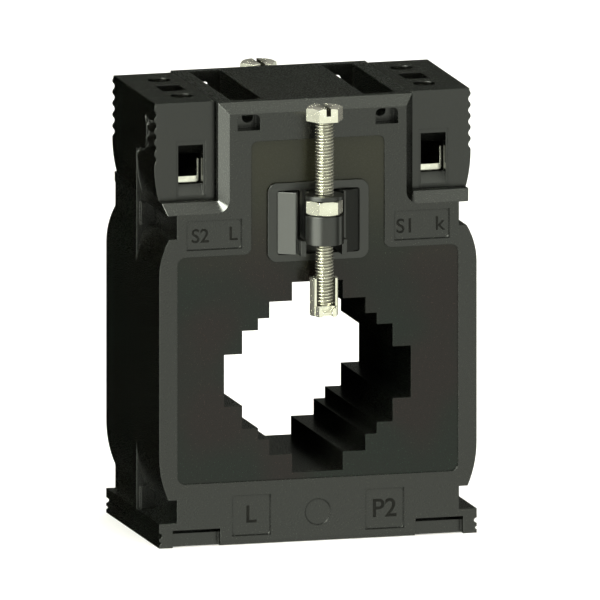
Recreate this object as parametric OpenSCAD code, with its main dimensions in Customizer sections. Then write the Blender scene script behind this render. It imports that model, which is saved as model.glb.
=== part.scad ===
// Window-type current transformer for cables and bus bars, in millimetres.
// The origin is the centre of the base, +X is to the right seen from the front,
// +Y goes to the back and +Z is up.

/* [Case] */
// Overall width of the case
case_w = 70; // [66:0.5:90]
// Depth of the case from front face to rear face
case_d = 43; // [38:0.5:60]
// How far the joint between the two shells lies in front of the middle
seam_shift = 3; // [2.2:0.1:6]
// Thickness of the flange that runs round the rear shell at the joint
flange_t = 2.9; // [2.2:0.1:3.4]
// Height of the foot strip at the bottom of each side
foot_h = 5.3; // [4.8:0.1:7]
// Height of the notch above the foot
low_notch_h = 5; // [3:0.1:7]
// Height of each side wing between its two notches
wing_h = 56.5; // [52:0.5:60]
// Height of the notch above the wing
high_notch_h = 5.1; // [3:0.1:7]
// Depth of both notches in the front shell, measured in from the side
notch_in = 3.9; // [2:0.1:4.5]
// Depth of both notches in the rear shell
rear_notch_in = 2; // [1.4:0.1:3]
// Radius of the wing's lower curve
wing_low_r = 24; // [16:0.5:40]
// Radius of the wing's upper curve
wing_high_r = 15.6; // [12:0.2:30]
// Height of the stretch that the lower curve takes up
wing_low_arc = 9.6; // [5:0.1:12]
// Height of the stretch that the upper curve takes up
wing_high_arc = 8; // [5:0.1:10]
// Height of the ledge that carries the terminal blocks
ledge_h = 2.4; // [2.2:0.1:4]
// Height of the tower and the terminal blocks above the ledge
block_h = 21.2; // [20.5:0.1:32]
// How far the ledge's end stays in from the side
ledge_in = 1.2; // [0.4:0.1:2.5]
// How far the ledge's ends run in towards the face
ledge_taper = 0.7; // [0.2:0.05:1.2]
// Radius of the ledge's lower corners
ledge_r = 0.5; // [0.2:0.05:1]
// Width of the tower between the terminal blocks
tower_w = 42.9; // [41.6:0.1:43.2]
// Depth of the chamfers along the top front and rear edges
edge_chamfer = 2.3; // [1:0.1:2.6]
// Width of the chamfers up the tower's vertical edges
tower_chamfer = 1.95; // [1:0.05:2.2]
// Radius at the face of the corner between a tower chamfer and the ledge chamfer
corner_r = 2.8; // [1:0.1:3.2]
// Radius of that corner where both chamfers end
corner_back_r = 0.4; // [0.2:0.05:0.8]

/* [Window] */
// Height of the window's centre above the base
window_z = 35.6; // [34.8:0.1:37]
// Width of the widest bus bar
wide_bar_w = 40; // [36:0.5:41]
// Thickness of the widest bus bar
wide_bar_t = 10; // [8:0.5:12]
// Width of the middle bus bar
mid_bar_w = 32; // [29:0.5:34]
// Thickness of the middle bus bar
mid_bar_t = 20; // [17:0.5:22]
// Side of the square bus bar
square_bar = 25; // [23.5:0.5:27]
// Play of each bar in the window, both sides together
bar_play = 1.2; // [0.6:0.1:1.4]
// Wall of the sleeve round the window
sleeve_wall = 1.3; // [1:0.1:1.6]

/* [Face] */
// Depth of the recessed face panel
panel_depth = 0.45; // [0.2:0.05:1]
// Margin between the panel's wide part and the side of the case
panel_margin = 4; // [3.5:0.1:8]
// Bottom of the panel's wide part
panel_z = 13.6; // [12:0.1:14]
// Height of the panel's wide part
panel_h = 49.2; // [46:0.1:52]
// Width of the panel's upper part
panel_neck_w = 29.4; // [25:0.1:36]
// Distance from the panel's upper edge to the top of the case
panel_top_drop = 8.3; // [6:0.1:12]
// Corner radius of the wide part
panel_r = 1.8; // [0.5:0.1:4]
// Corner radius of the upper part
panel_neck_r = 1.5; // [0.5:0.1:3]
// Depth of the small marking fields
field_depth = 0.2; // [0.1:0.05:0.35]
// Width of the two upper marking fields
high_field_w = 12; // [9:0.1:13]
// Height of the two upper marking fields
high_field_h = 6.2; // [4:0.1:7]
// Distance of the upper fields' middle below the ledge's top
high_field_drop = 6.9; // [6.5:0.1:7.5]
// Distance of the upper fields' middle from the centre line
high_field_x = 22.9; // [20:0.1:24]
// Width of the two lower marking fields
low_field_w = 8.3; // [6:0.1:10]
// Height of the two lower marking fields
low_field_h = 8.6; // [5:0.1:9.5]
// Height of the lower fields' middle above the base
low_field_z = 6.3; // [5.8:0.1:6.8]
// Distance of the lower fields' middle from the centre line
low_field_x = 14.7; // [13:0.1:16]
// Radius of the round recess between the lower fields
disc_r = 2.8; // [2:0.1:4]

/* [Tower top] */
// Width of each pocket in the top of the tower
pocket_w = 6.95; // [5:0.05:8]
// Wall between each pocket and the side of the tower
pocket_side = 3.35; // [2.4:0.05:5]
// Depth of each pocket
pocket_depth = 8; // [6:0.5:14]
// Wall between the end of a pocket and the recess beside it
pocket_wall = 0.9; // [0.6:0.1:2]
// Width of the recess in front of each pocket
mouth_w = 5; // [4:0.1:6]
// Height of that recess
mouth_h = 3.4; // [2.8:0.1:4]
// Depth of that recess
mouth_depth = 3.5; // [2.5:0.1:5]
// Radius of that recess's upper corners
mouth_r = 1.2; // [0.4:0.1:1.5]
// How far the recess lies further out than the pocket behind it
mouth_out = 0.6; // [0:0.05:0.9]
// Radius of the hole from the recess into the pocket
pocket_hole_r = 1.2; // [0.6:0.1:1.4]

/* [Foot] */
// Width of each mounting slot under the face
foot_slot_w = 10.5; // [6:0.1:12]
// Distance of the slot's middle from the centre line
foot_slot_x = 26.8; // [25.8:0.1:27.2]
// Height of the slot's roof above the base
foot_slot_h = 3.75; // [3:0.05:4.2]
// Heights above the base of the two grooves along each foot
groove_high_z = 2.7; // [2.2:0.1:3.2]
groove_low_z = 1.1; // [0.8:0.1:1.6]
// Depths of those two grooves
groove_high_d = 0.6; // [0.3:0.05:0.8]
groove_low_d = 0.35; // [0.2:0.05:0.6]
// Height of the tongue that stands in the slot
foot_tongue_h = 2.8; // [1.5:0.1:2.9]
// How far the tongue is set back from the face
foot_tongue_in = 1.8; // [1:0.1:3]
// Chamfer along the bottom edge between the slots
base_chamfer = 0.85; // [0.3:0.05:1.5]
// Depth of the slot above the tongue
foot_slot_depth = 7; // [5:0.5:12]

/* [Terminals] */
// Depth of each terminal block
block_d = 34; // [30:0.5:35]
// Gap between a block and the tower beside it
block_gap = 0.15; // [0.05:0.05:0.4]
// Height of one rib on the block's side
rib_pitch = 2.45; // [2:0.05:2.6]
// Depth of the valleys between the ribs
rib_depth = 0.5; // [0.2:0.05:0.8]
// Radius of the belly under the ribs
belly_r = 29.6; // [24:0.2:40]
// Length of the flat pad that interrupts the middle ribs
pad_l = 22; // [10:0.5:26]
// Distance of the terminal screws from the block's inner side
terminal_side = 5.15; // [4.9:0.05:5.6]
// Distance of the terminal screws from the block's front and rear
terminal_in = 7.8; // [7.2:0.1:8.4]
// Radius of the terminal screws' thread
terminal_r = 1.5; // [1.3:0.05:1.6]
// Radius of the terminal screws' head
terminal_head_r = 2.3; // [2.1:0.05:2.35]
// Height of the terminal screws' head
terminal_head_h = 2; // [1.2:0.1:2.4]
// Width of the slot in the terminal screws' head
terminal_slot_w = 0.8; // [0.6:0.1:1.2]
// Depth of that slot
terminal_slot_d = 0.9; // [0.5:0.1:1.1]
// How deep the screw heads lie under the block's top when open
terminal_head_drop = 1.7; // [1.2:0.1:2.4]
// Play of the screw heads in the access holes
access_play = 0.15; // [0.05:0.05:0.4]
// Room in the wire space on each side of the saddle
wire_room = 0.15; // [0.1:0.05:0.25]
// Height of the wire space
wire_h = 7.5; // [6.5:0.1:8]
// Height of the wire space's floor above the ledge
wire_floor = 3.2; // [2.6:0.1:3.6]
// Length of the wire space from the block's face
wire_l = 12.5; // [11.8:0.1:13]
// Depth of the shallow recess round the mouth of the wire space
recess_d = 0.4; // [0.2:0.05:0.6]
// Half the width of that recess
recess_half = 3.2; // [3:0.05:3.6]
// Depth of the funnel behind that recess
funnel_d = 2.1; // [1:0.1:2.4]
// Height of the slope over and under the mouth
funnel_h = 2.2; // [1:0.1:2.4]
// How far the lintel hangs down over the mouth
lintel_h = 1; // [0.6:0.1:1.4]
// Thickness of that lintel behind the funnel
lintel_t = 0.8; // [0.5:0.05:1]
// Thickness of the bar inside each block
bar_t = 3; // [2:0.1:3.2]
// Play of the screw between the saddle's cheeks
saddle_play = 0.5; // [0.3:0.05:0.6]
// Thickness of the saddle's floor
saddle_floor = 1.4; // [1:0.1:1.8]
// Thickness of the saddle's cheeks
saddle_cheek = 0.6; // [0.4:0.05:0.65]
// Height of the saddle with its cheeks
saddle_h = 5.2; // [4:0.1:5.6]
// Thickness of the pressure plates
plate_t = 1; // [0.8:0.05:1.2]
// Gap between the bar and a pressure plate when open
plate_drop = 0.45; // [0.3:0.05:0.8]
// Side of the square test opening between the terminal screws, in the depth
test_l = 6.9; // [5:0.1:8]
// Width of that test opening
test_w = 5.3; // [4:0.1:5.6]
// Depth of that test opening
test_d = 3.5; // [2:0.1:4]

/* [Fixing screws] */
// Distance of the screw's axis from the face
screw_out = 5.2; // [5.1:0.1:7]
// Radius of the fixing screw's thread
screw_r = 2; // [1.8:0.05:2.2]
// Length of the screw from its tip to the underside of its head
screw_l = 40; // [38:0.5:44]
// Width across the flats of the screw's head and of the nut
hex_af = 7; // [6.6:0.1:7.2]
// Height of the screw's head
screw_head_h = 3; // [2:0.1:3.4]
// Gap between the holder and the shoe under it when open
shoe_drop = 2.9; // [2.5:0.1:4]
// Width of the slot in the screw's head
screw_slot_w = 1; // [0.8:0.1:1.4]
// Depth of the slot in the screw's head
screw_slot_d = 1.6; // [0.8:0.1:1.8]
// Height of the nut
nut_h = 3.2; // [2.4:0.1:3.4]
// Outer width of the holder's frame
holder_w = 22.2; // [20:0.1:25]
// Height of the holder's frame
holder_h = 17; // [16:0.1:18]
// Distance from the ledge's top down to the bottom of the holder's frame
holder_drop = 13.4; // [12.8:0.1:14]
// Width of the frame's rim
holder_rim = 2; // [1.2:0.1:2.4]
// How far the frame stands proud of the face
holder_proud = 0.25; // [0.1:0.05:0.8]
// Depth of the holder's seat behind the panel
holder_seat = 2.2; // [1.6:0.1:3]
// Corner radius of the frame
holder_r = 2; // [1:0.1:3]
// Depth of the niche inside the frame
holder_niche = 1.6; // [1:0.1:1.9]
// How far the cheeks stand proud of the face
cheek_proud = 2.1; // [1:0.1:3]
// Distance of the cheeks' front edge from the centre line
cheek_x = 5.5; // [5.2:0.1:6.5]
// Width of the cheeks' front edge
cheek_edge = 0.4; // [0.3:0.1:1]
// Distance of the cheeks' foot from the centre line
cheek_foot_x = 3.4; // [3:0.1:4.5]
// Distance of the two ribs beside the barrel from the centre line
holder_rib_x = 3.95; // [3.4:0.05:4.2]
// Thickness of those ribs
holder_rib_t = 1.1; // [0.8:0.1:1.4]
// Width of the web that carries the barrel
barrel_web_w = 5.2; // [4:0.1:6]
// Height of the barrel
barrel_h = 10.5; // [9:0.1:11]
// Distance across the shoe on the screw's tip
shoe_w = 5.8; // [5.6:0.1:6.4]
// Height of the shoe
shoe_h = 8.1; // [6:0.1:9]
// Thickness of the shoe's closed end
shoe_end = 2.2; // [1.4:0.1:3]
// Width of the opening in the shoe's front
shoe_slot_w = 3.8; // [2.8:0.1:3.9]
// Depth of the pointed notch in the shoe's front under that opening
shoe_notch_d = 0.5; // [0.2:0.05:0.7]
// Width of that notch at its lower end, and of the gap under it
shoe_gap_w = 2.3; // [1.6:0.1:2.6]
// Height of the gap under the notch
shoe_gap_h = 0.75; // [0.4:0.05:1]

/* [Inside] */
// Wall between the core's space and the side of the case
side_wall = 3.4; // [3:0.1:4]
// Thickness of the front and rear walls behind the panel
face_wall = 3.2; // [2.8:0.1:4]
// Play between the wound core and the case
core_play = 0.3; // [0.1:0.05:0.4]
// Thickness of the insulating tape round the winding
tape_t = 0.5; // [0.3:0.05:0.6]
// Thickness of the winding
winding_t = 1.2; // [0.8:0.1:1.3]
// Thickness of the rings at both ends of the core
cap_t = 1; // [0.6:0.1:1.5]
// Radius of the leads from the winding to the terminals
lead_r = 0.6; // [0.4:0.05:0.8]

/* [Fits] */
// Radial play of turning and sliding parts
run_gap = 0.05; // [0.02:0.01:0.09]
// Play of parts that are dropped in place
seat_gap = 0.1; // [0.05:0.01:0.15]

/* [Hidden] */
$fn = 64;
cut = 1;                                    // how far a cutter runs past the surface it cuts

half_w = case_w / 2;
half_d = case_d / 2;
half_tower = tower_w / 2;
seam_y = -seam_shift;
wing_z = foot_h + low_notch_h;
wing_top = wing_z + wing_h;
ledge_z = wing_top + high_notch_h;
ledge_top = ledge_z + ledge_h;
case_h = ledge_top + block_h;
pocket_x = half_tower - pocket_side - pocket_w / 2;
mouth_z = case_h - edge_chamfer - 0.2 - mouth_h;
block_x = half_tower + block_gap;

cavity_r = min(half_w, window_z) - side_wall;
cavity_y = half_d - face_wall;
window_steps = [[wide_bar_w, wide_bar_t], [mid_bar_w, mid_bar_t], [square_bar, square_bar],
    [mid_bar_t, mid_bar_w], [wide_bar_t, wide_bar_w]];
sleeve_r = max([for (s = window_steps)
    norm([(s[0] + bar_play) / 2 + sleeve_wall, (s[1] + bar_play) / 2 + sleeve_wall])]);
tape_r = cavity_r - core_play;
winding_r = tape_r - tape_t;
winding_in = sleeve_r + core_play;
core_out = winding_r - winding_t - seat_gap;
core_in = winding_in + winding_t + seat_gap;
winding_y = cavity_y - core_play;
core_y = winding_y - winding_t - cap_t - seat_gap;

terminal_x = block_x + terminal_side;
terminal_y = block_d / 2 - terminal_in;
access_r = terminal_head_r + access_play;
saddle_half = terminal_r + saddle_play + saddle_cheek;
wire_w = 2 * (saddle_half + wire_room);
wire_z = ledge_top + wire_floor;
bar_z = wire_z + wire_h;
bar_w = wire_w - 2 * seat_gap;
bar_l = block_d - 8;
waves = 5;
top_tip = case_h - 1.1;
plate_half = saddle_half - saddle_cheek - 0.15;
plate_half_l = wire_l - terminal_in - 1.7;
neck_r = 0.8;
plate_z = bar_z - plate_t - plate_drop;
head_z = case_h - terminal_head_drop - terminal_head_h;

screw_y = -half_d - screw_out;
holder_z = ledge_top - holder_drop;
shoe_z = holder_z - shoe_drop - shoe_h;
tip_z = shoe_z + shoe_end;
head_under = tip_z + screw_l;
barrel_r = hex_af / sqrt(3) + 0.1;
barrel_z = holder_z + 4.6;
nut_z = barrel_z + barrel_h - 1 - nut_h;

BLACK = [0.27, 0.28, 0.25];
PANEL = [0.21, 0.2, 0.18];
STEEL = [0.85, 0.84, 0.78];
BRASS = [0.8, 0.68, 0.38];
COPPER = [0.72, 0.42, 0.25];

// ---- helpers -------------------------------------------------------------

// Extrudes an outline drawn as (x, z) from y0 back to y1.
module slab(y0, y1) translate([0, y1, 0]) rotate([90, 0, 0]) linear_extrude(y1 - y0) children();

// Extrudes an outline drawn as (y, z) from x0 to x1.
module across(x0, x1) translate([x0, 0, 0]) rotate([90, 0, 90]) linear_extrude(x1 - x0) children();

module both_sides() {
    children();
    mirror([1, 0, 0]) children();
}

// Mirrors a piece drawn at the front right: side -1 is left, end 1 is the rear.
module at_corner(side, end)
    mirror([side < 0 ? 1 : 0, 0, 0]) mirror([0, end > 0 ? 1 : 0, 0]) children();

module box(x0, x1, y0, y1, z0, z1) translate([x0, y0, z0]) cube([x1 - x0, y1 - y0, z1 - z0]);

// A rectangle with its lower left corner at (x, z) and true round corners.
module rounded(x, z, w, h, r) {
    translate([x + r, z]) square([w - 2 * r, h]);
    translate([x, z + r]) square([w, h - 2 * r]);
    for (dx = [r, w - r], dz = [r, h - r]) translate([x + dx, z + dz]) circle(r);
}

// The outline of the stepped window, each step grown by a margin on every side.
module window_outline(margin = 0)
    for (s = window_steps) translate([0, window_z])
        square([s[0] + bar_play + 2 * margin, s[1] + bar_play + 2 * margin], center = true);

// ---- shells --------------------------------------------------------------

// One side wing: a straight side that curves in towards both notches.
module wing_outline(notch) intersection() {
    translate([0, wing_z]) square([half_w, wing_h]);
    union() {
        translate([0, wing_z]) square([half_w - notch, wing_h]);
        translate([0, wing_z + wing_low_arc])
            square([half_w, wing_h - wing_low_arc - wing_high_arc]);
        translate([half_w - wing_low_r, wing_z + wing_low_arc]) circle(wing_low_r, $fn = 180);
        translate([half_w - wing_high_r, wing_top - wing_high_arc]) circle(wing_high_r, $fn = 180);
    }
}

module case_outline(notch) {
    end = half_w - ledge_in;
    both_sides() {
        square([half_w, foot_h]);
        square([half_w - notch, ledge_top]);
        wing_outline(notch);
        translate([0, ledge_z]) square([end - ledge_r, ledge_h]);
        translate([0, ledge_z + ledge_r]) square([end, ledge_h - ledge_r]);
        translate([end - ledge_r, ledge_z + ledge_r]) circle(ledge_r);
    }
    translate([-half_tower, 0]) square([tower_w, case_h]);
}

// The space over the ledge and beside the tower, which opens towards the face.
module ledge_chamfer() hull() {
    thin = 0.01;
    ahead = 0.5;
    grow = 1 + ahead / edge_chamfer;
    slab(-half_d + edge_chamfer - thin, -half_d + edge_chamfer)
        corner_outline(half_tower, ledge_top, corner_back_r);
    slab(-half_d - ahead, -half_d - ahead + thin)
        corner_outline(half_tower - grow * tower_chamfer, ledge_top - grow * edge_chamfer,
            corner_back_r + grow * (corner_r - corner_back_r));
}

module corner_outline(x, z, r) rounded(x, z, half_w + 2 * corner_r + cut - x,
    case_h + 2 * corner_r + cut - z, r);

// What is cut off the ledge's end, so that it runs in towards the face.
module ledge_end() {
    end = half_w - ledge_in;
    translate([0, 0, ledge_z - cut]) linear_extrude(ledge_h + 2 * cut)
        polygon([[end - ledge_taper * (1 + cut / edge_chamfer), -half_d - cut],
            [half_w + cut, -half_d - cut], [half_w + cut, -half_d + edge_chamfer],
            [end, -half_d + edge_chamfer]]);
}

module top_chamfer() across(-half_w, half_w) polygon([[-half_d - cut, case_h - edge_chamfer - cut],
    [-half_d - cut, case_h + cut], [-half_d + edge_chamfer + cut, case_h + cut]]);

module panel_outline() {
    top = case_h - panel_top_drop;
    neck = panel_neck_w / 2;
    wide_top = panel_z + panel_h;
    rounded(-half_w + panel_margin, panel_z, case_w - 2 * panel_margin, panel_h, panel_r);
    rounded(-neck, panel_z, panel_neck_w, top - panel_z, panel_neck_r);
    both_sides() difference() {
        translate([neck, wide_top]) square(panel_neck_r);
        translate([neck + panel_neck_r, wide_top + panel_neck_r]) circle(panel_neck_r);
    }
}

module marking_fields() {
    both_sides() {
        rounded(high_field_x - high_field_w / 2, ledge_top - high_field_drop - high_field_h / 2,
            high_field_w, high_field_h, 1);
        rounded(low_field_x - low_field_w / 2, low_field_z - low_field_h / 2,
            low_field_w, low_field_h, 1);
    }
    translate([0, low_field_z]) circle(disc_r);
}

// The flat-bottomed recess in front of a pocket, with round upper corners.
module mouth_outline() {
    x = pocket_x + mouth_out - mouth_w / 2;
    rounded(x, mouth_z, mouth_w, mouth_h, mouth_r);
    translate([x, mouth_z]) square([mouth_w, mouth_h / 2]);
}

// Everything that is cut into the face of a shell, drawn at the front.
module face_cuts() {
    slab(-half_d - cut, -half_d + panel_depth) panel_outline();
    slab(-half_d - cut, -half_d + field_depth) marking_fields();
    slab(-half_d - cut, -half_d + panel_depth + holder_seat) holder_outline();
    slab(-half_d - cut, half_d + cut) window_outline();
    top_chamfer();
    base_bevel();
    gate_mark();
    both_sides() {
        ledge_chamfer();
        ledge_end();
        slab(-half_d - cut, -half_d + mouth_depth) mouth_outline();
        translate([pocket_x, 0, mouth_z + mouth_h - pocket_hole_r + 0.1])
            rotate([90, 0, 0]) cylinder(r = pocket_hole_r, h = half_d - mouth_depth + 0.1);
        foot_slot();
    }
}

module foot_slot() {
    x0 = foot_slot_x - foot_slot_w / 2;
    box(x0, x0 + foot_slot_w, -half_d - cut, -half_d + foot_tongue_in, -cut, foot_slot_h);
    box(x0, x0 + foot_slot_w, -half_d, -half_d + foot_slot_depth, foot_tongue_h, foot_slot_h);
}

// What is hollow inside both shells: the core's space and the two top pockets.
module case_hollow() {
    slab(-cavity_y, cavity_y) difference() {
        translate([0, window_z]) circle(cavity_r, $fn = 128);
        window_outline(sleeve_wall);
    }
    both_sides() {
        box(pocket_x - pocket_w / 2, pocket_x + pocket_w / 2,
            -half_d + mouth_depth + pocket_wall, half_d - mouth_depth - pocket_wall,
            case_h - pocket_depth, case_h + cut);
        translate([terminal_x, 0, window_z]) cylinder(r = lead_r + seat_gap, h = case_h);
    }
}

// Fine grooves along the side of the foot.
module foot_grooves() both_sides() for (g = [[groove_high_z, groove_high_d], [groove_low_z, groove_low_d]])
    slab(-half_d - cut, half_d + cut) translate([half_w, g[0]]) circle(g[1], $fn = 24);

// The small notch that the mould's gate left on the top edge.
module gate_mark() translate([-2.1, -half_d + edge_chamfer, case_h]) rotate([45, 0, 0])
    cube([0.7, 0.5, 0.5], center = true);

// The chamfer along the bottom edge of the face, between the mounting slots.
module base_bevel() {
    x = foot_slot_x - foot_slot_w / 2;
    across(-x, x) polygon([[-half_d - cut, -cut], [-half_d - cut, base_chamfer + cut],
        [-half_d + base_chamfer + cut, -cut]]);
}

module front_shell() color(BLACK) {
    difference() {
        slab(-half_d, seam_y) case_outline(notch_in);
        face_cuts();
        case_hollow();
        foot_grooves();
    }
}

module rear_shell() color(BLACK) {
    difference() {
        union() {
            slab(seam_y, half_d) case_outline(rear_notch_in);
            slab(seam_y, seam_y + flange_t) translate([-half_w, 0]) square([case_w, ledge_top]);
            both_sides() {
                latch(foot_h, low_notch_h);
                latch(wing_top, high_notch_h);
            }
        }
        mirror([0, 1, 0]) face_cuts();
        case_hollow();
        foot_grooves();
    }
}

// The catch that fills a notch in front of the flange.
module latch(z, h) box(half_w - notch_in + seat_gap, half_w - 0.7, seam_y - 1.2, seam_y + cut,
    z + seat_gap, z + h - seat_gap);

// ---- terminal blocks -----------------------------------------------------

// Outline of a block seen from the front, with waves down its side and a belly under them.
module block_outline() {
    side_x = half_w - 0.1;
    belly_top = top_tip - waves * rib_pitch;
    wave_r = (pow(rib_pitch / 4, 2) + pow(rib_depth / 2, 2)) / rib_depth;
    difference() {
        union() {
            intersection() {
                translate([block_x, ledge_top]) square([half_w - block_x, belly_top - ledge_top]);
                translate([side_x - belly_r, belly_top]) circle(belly_r, $fn = 180);
            }
            translate([block_x, belly_top])
                square([side_x - rib_depth / 2 - block_x, case_h - belly_top]);
            for (i = [0:waves]) translate([side_x - wave_r, top_tip - i * rib_pitch]) circle(wave_r);
        }
        for (i = [0.5:waves]) translate([side_x - rib_depth + wave_r, top_tip - i * rib_pitch])
            circle(wave_r);
    }
}

// The raised pad that interrupts the middle waves, with round ends, drawn as (y, z).
module pad_outline() {
    low = top_tip - (waves - 1) * rib_pitch;
    high = top_tip - rib_pitch;
    bow = 1.1;
    end_r = (pow((high - low) / 2, 2) + pow(bow, 2)) / (2 * bow);
    intersection() {
        translate([-pad_l / 2, low]) square([pad_l, high - low]);
        translate([-pad_l / 2 + end_r, (low + high) / 2]) circle(end_r);
    }
    translate([-pad_l / 2 + 3, low]) square([pad_l - 6, high - low]);
    intersection() {
        translate([-pad_l / 2, low]) square([pad_l, high - low]);
        translate([pad_l / 2 - end_r, (low + high) / 2]) circle(end_r);
    }
}

module terminal_block() color(BLACK) {
    end = block_d / 2;
    difference() {
        union() {
            slab(-end, end) block_outline();
            across(half_w - 2, half_w) pad_outline();
            slab(seam_y, seam_y + flange_t)
                translate([block_x, ledge_top]) square([half_w - block_x, block_h / 2 - 1.5]);
        }
        for (end_sign = [-1, 1]) mirror([0, end_sign > 0 ? 1 : 0, 0]) {
            translate([terminal_x, -terminal_y, bar_z]) cylinder(r = access_r, h = case_h);
            wire_space();
        }
        box(terminal_x - bar_w / 2 - seat_gap, terminal_x + bar_w / 2 + seat_gap,
            -bar_l / 2 - seat_gap, bar_l / 2 + seat_gap, bar_z, bar_z + bar_t + seat_gap);
        box(terminal_x - test_w / 2, terminal_x + test_w / 2, -test_l / 2, test_l / 2,
            case_h - test_d, case_h + cut);
        translate([terminal_x, 0, 0]) cylinder(r = lead_r + seat_gap, h = bar_z + cut);
    }
}

// The wire space behind its recess, funnel and lintel, drawn at the front.
module wire_space() {
    face = -block_d / 2;
    half = wire_w / 2;
    back = face + recess_d + funnel_d;
    top = bar_z - lintel_h;
    box(terminal_x - recess_half, terminal_x + recess_half, face - cut, face + recess_d,
        ledge_top, top + funnel_h + 0.9);
    across(terminal_x - half, terminal_x + half)
        polygon([[face + recess_d - cut, top + funnel_h], [face + recess_d, top + funnel_h],
            [back, top], [back, wire_z], [face + recess_d, wire_z - funnel_h],
            [face + recess_d - cut, wire_z - funnel_h]]);
    box(terminal_x - half, terminal_x + half, back - cut, back + lintel_t, wire_z, top);
    box(terminal_x - half, terminal_x + half, back + lintel_t - 0.01, face + wire_l, wire_z, bar_z);
}

module bus_bar() color(BRASS) difference() {
    box(terminal_x - bar_w / 2, terminal_x + bar_w / 2, -bar_l / 2, bar_l / 2, bar_z, bar_z + bar_t);
    for (y = [-terminal_y, terminal_y])
        translate([terminal_x, y, bar_z - cut]) cylinder(r = terminal_r + run_gap, h = bar_t + 2 * cut);
}

module wire_saddle() color(STEEL) {
    y0 = -block_d / 2 + recess_d + funnel_d + lintel_t + seat_gap;
    y1 = -block_d / 2 + wire_l;
    slab(y0, y1) difference() {
        translate([terminal_x - saddle_half, wire_z]) square([2 * saddle_half, saddle_h]);
        translate([terminal_x - saddle_half + saddle_cheek, wire_z + saddle_floor])
            square([2 * (saddle_half - saddle_cheek), saddle_h]);
    }
}

module pressure_plate() color(STEEL) difference() {
    box(terminal_x - plate_half, terminal_x + plate_half, -terminal_y - plate_half_l,
        -terminal_y + plate_half_l, plate_z, plate_z + plate_t);
    translate([terminal_x, -terminal_y, plate_z - cut]) cylinder(r = neck_r + run_gap, h = plate_t + 2 * cut);
}

module terminal_screw() color(STEEL) translate([terminal_x, -terminal_y, 0]) difference() {
    union() {
        translate([0, 0, head_z]) cylinder(r = terminal_head_r, h = terminal_head_h);
        translate([0, 0, plate_z + plate_t + run_gap])
            cylinder(r = terminal_r, h = head_z - plate_z - plate_t);
        translate([0, 0, plate_z + 0.1]) cylinder(r = neck_r, h = plate_t + cut);
    }
    box(-terminal_head_r - cut, terminal_head_r + cut, -terminal_slot_w / 2, terminal_slot_w / 2,
        head_z + terminal_head_h - terminal_slot_d, head_z + terminal_head_h + cut);
}

// ---- fixing screws -------------------------------------------------------

module holder_outline() rounded(-holder_w / 2, holder_z, holder_w, holder_h, holder_r);

// Frame, cheeks and barrel that carry one fixing screw, drawn at the front.
module screw_holder() color(BLACK) {
    back = -half_d + panel_depth + holder_seat;
    floor_y = -half_d + holder_niche;
    niche_x = holder_w / 2 - holder_rim;
    niche_z = holder_z + 1.5;
    niche_h = holder_h - 3.2;
    difference() {
        union() {
            difference() {
                slab(-half_d - holder_proud, back) holder_outline();
                slab(-half_d - cut, floor_y) rounded(-niche_x, niche_z, 2 * niche_x, niche_h, 0.6);
            }
            both_sides() {
                translate([0, 0, niche_z + 0.2]) linear_extrude(niche_h - 0.4)
                    polygon([[niche_x, floor_y + 0.5], [niche_x, -half_d],
                        [cheek_x, -half_d - cheek_proud],
                        [cheek_x - cheek_edge, -half_d - cheek_proud],
                        [cheek_foot_x, floor_y + 0.5]]);
                box(holder_rib_x, holder_rib_x + holder_rib_t, screw_y + 0.2, floor_y + 0.5,
                    niche_z + 0.3, barrel_z + 0.5);
            }
            box(-barrel_web_w / 2, barrel_web_w / 2, screw_y, floor_y + 0.5,
                barrel_z, barrel_z + barrel_h);
            translate([0, screw_y, barrel_z]) cylinder(r = barrel_r, h = barrel_h);
        }
        translate([0, screw_y, 0]) cylinder(r = screw_r + 0.1, h = case_h);
        box(-barrel_r - cut, barrel_r + cut, screw_y - barrel_r - cut,
            screw_y + hex_af / 2 + seat_gap, nut_z - seat_gap, nut_z + nut_h + seat_gap);
    }
}

module hexagon(h) cylinder(r = hex_af / sqrt(3), h = h, $fn = 6);

module hex_nut() color(STEEL) translate([0, screw_y, nut_z]) difference() {
    hexagon(nut_h);
    translate([0, 0, -cut]) cylinder(r = screw_r + run_gap, h = nut_h + 2 * cut);
}

module fixing_screw() color(STEEL) translate([0, screw_y, 0]) difference() {
    union() {
        translate([0, 0, head_under]) intersection() {
            hexagon(screw_head_h);
            rotate_extrude() polygon([[0, 0], [hex_af, 0], [hex_af, screw_head_h - 1.8],
                [hex_af / 2 - 0.1, screw_head_h], [0, screw_head_h]]);
        }
        translate([0, 0, tip_z]) rotate_extrude() polygon([[0, 0], [screw_r - 0.5, 0],
            [screw_r, 0.5], [screw_r, screw_l + 0.1], [0, screw_l + 0.1]]);
    }
    box(-screw_slot_w / 2, screw_slot_w / 2, -hex_af, hex_af,
        head_under + screw_head_h - screw_slot_d, head_under + screw_head_h + cut);
}

// The shoe turns freely on the screw's tip; its front is open above the closed end.
module pressure_shoe() color(STEEL) translate([0, screw_y, shoe_z]) difference() {
    rotate(22.5) cylinder(r = shoe_w / 2 / cos(22.5), h = shoe_h, $fn = 8);
    translate([0, 0, shoe_end - run_gap]) cylinder(r = screw_r + run_gap, h = shoe_h);
    box(-shoe_slot_w / 2, shoe_slot_w / 2, -shoe_w, 0, shoe_end + 0.3, shoe_h + cut);
    slab(-shoe_w, -shoe_w / 2 + shoe_notch_d) polygon([[-shoe_slot_w / 2, shoe_end + 0.4],
        [shoe_slot_w / 2, shoe_end + 0.4], [shoe_gap_w / 2, shoe_gap_h], [-shoe_gap_w / 2, shoe_gap_h]]);
    box(-shoe_gap_w / 2, shoe_gap_w / 2, -shoe_w, -shoe_gap_w / 2, -cut, shoe_gap_h);
}

// ---- core and winding ----------------------------------------------------

// Turns a section drawn as (radius, y) round the window's axis.
module round_window() translate([0, 0, window_z]) rotate([-90, 0, 0])
    rotate_extrude($fn = 128) children();

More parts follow.
